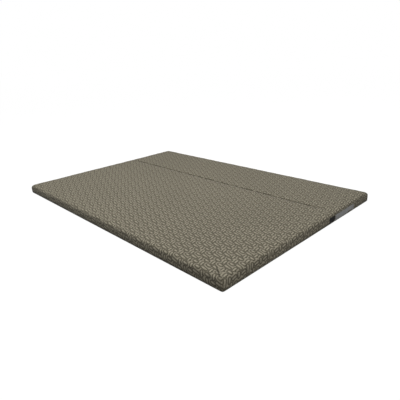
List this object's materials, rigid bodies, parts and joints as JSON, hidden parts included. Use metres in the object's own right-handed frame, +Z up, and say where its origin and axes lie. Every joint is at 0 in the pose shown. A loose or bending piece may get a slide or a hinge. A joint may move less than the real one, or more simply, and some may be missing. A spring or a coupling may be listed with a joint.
{
  "type": "futon mattress",
  "caption": "Thin flat folding futon mattress: patterned fabric cover with zips at one end, foam and wadding inside, and a stitched fold across the top.",
  "frame": {"origin": "middle of the underside, on the floor", "axes": "+Z up; X along the long side, with the labels at the +X end and the zips at the -X end; +Y from the wide front section towards the narrow rear one"},
  "size_m": [2.0064, 1.4, 0.06],
  "materials": {
    "jacquard": "matte",
    "underside": "matte",
    "lining": "matte",
    "webbing": "matte",
    "sleeve": "matte",
    "wadding": "matte",
    "foam": "matte",
    "zip_tape": "matte",
    "zip_coil": "satin",
    "zip_metal": "satin",
    "black_label": "satin",
    "white_label": "satin"
  },
  "bodies": {
    "front_section": {"front_cover_top": "jacquard", "front_cover_bottom": "underside", "front_fold_wall": "lining", "front_inner_sleeve": "sleeve", "front_wadding_upper": "wadding", "front_foam_core": "foam", "front_wadding_lower": "wadding", "front_zip_tape_upper": "zip_tape", "front_zip_tape_lower": "zip_tape", "front_zip_coil_upper": "zip_coil", "front_zip_coil_lower": "zip_coil", "front_zip_top_stop_upper": "zip_metal", "front_zip_top_stop_lower": "zip_metal", "front_zip_bottom_stop": "zip_metal", "fold_tape": "webbing", "brand_label": "black_label"},
    "rear_section": {"rear_cover_top": "jacquard", "rear_cover_bottom": "underside", "rear_fold_wall": "lining", "rear_inner_sleeve": "sleeve", "rear_wadding_upper": "wadding", "rear_foam_core": "foam", "rear_wadding_lower": "wadding", "rear_zip_tape_upper": "zip_tape", "rear_zip_tape_lower": "zip_tape", "rear_zip_coil_upper": "zip_coil", "rear_zip_coil_lower": "zip_coil", "rear_zip_top_stop_upper": "zip_metal", "rear_zip_top_stop_lower": "zip_metal", "rear_zip_bottom_stop": "zip_metal", "care_label": "white_label"},
    "front_slider": {"front_zip_slider": "zip_metal"},
    "front_pull": {"front_zip_pull": "zip_metal"},
    "rear_slider": {"rear_zip_slider": "zip_metal"},
    "rear_pull": {"rear_zip_pull": "zip_metal"}
  },
  "joints": [
    {"name": "fold", "type": "hinge", "parent": "front_section", "child": "rear_section", "pos_m": [0, 0.26, 0.061], "axis": [1, 0, 0], "range_deg": [0, 179], "deforming": ["fold_tape"]},
    {"name": "front_zip", "type": "slide", "parent": "front_section", "child": "front_slider", "axis": [0, -1, 0], "range_m": [0, 0.832], "deforming": ["front_zip_coil_upper", "front_zip_coil_lower"]},
    {"name": "front_pull_swing", "type": "hinge", "parent": "front_slider", "child": "front_pull", "pos_m": [-1.0032, 0.199, 0.023], "axis": [0, 0, -1], "range_deg": [0, 175]},
    {"name": "rear_zip", "type": "slide", "parent": "rear_section", "child": "rear_slider", "axis": [0, 1, 0], "range_m": [0, 0.312], "deforming": ["rear_zip_coil_upper", "rear_zip_coil_lower"]},
    {"name": "rear_pull_swing", "type": "hinge", "parent": "rear_slider", "child": "rear_pull", "pos_m": [-1.0032, 0.321, 0.023], "axis": [0, 0, 1], "range_deg": [0, 175]}
  ]
}
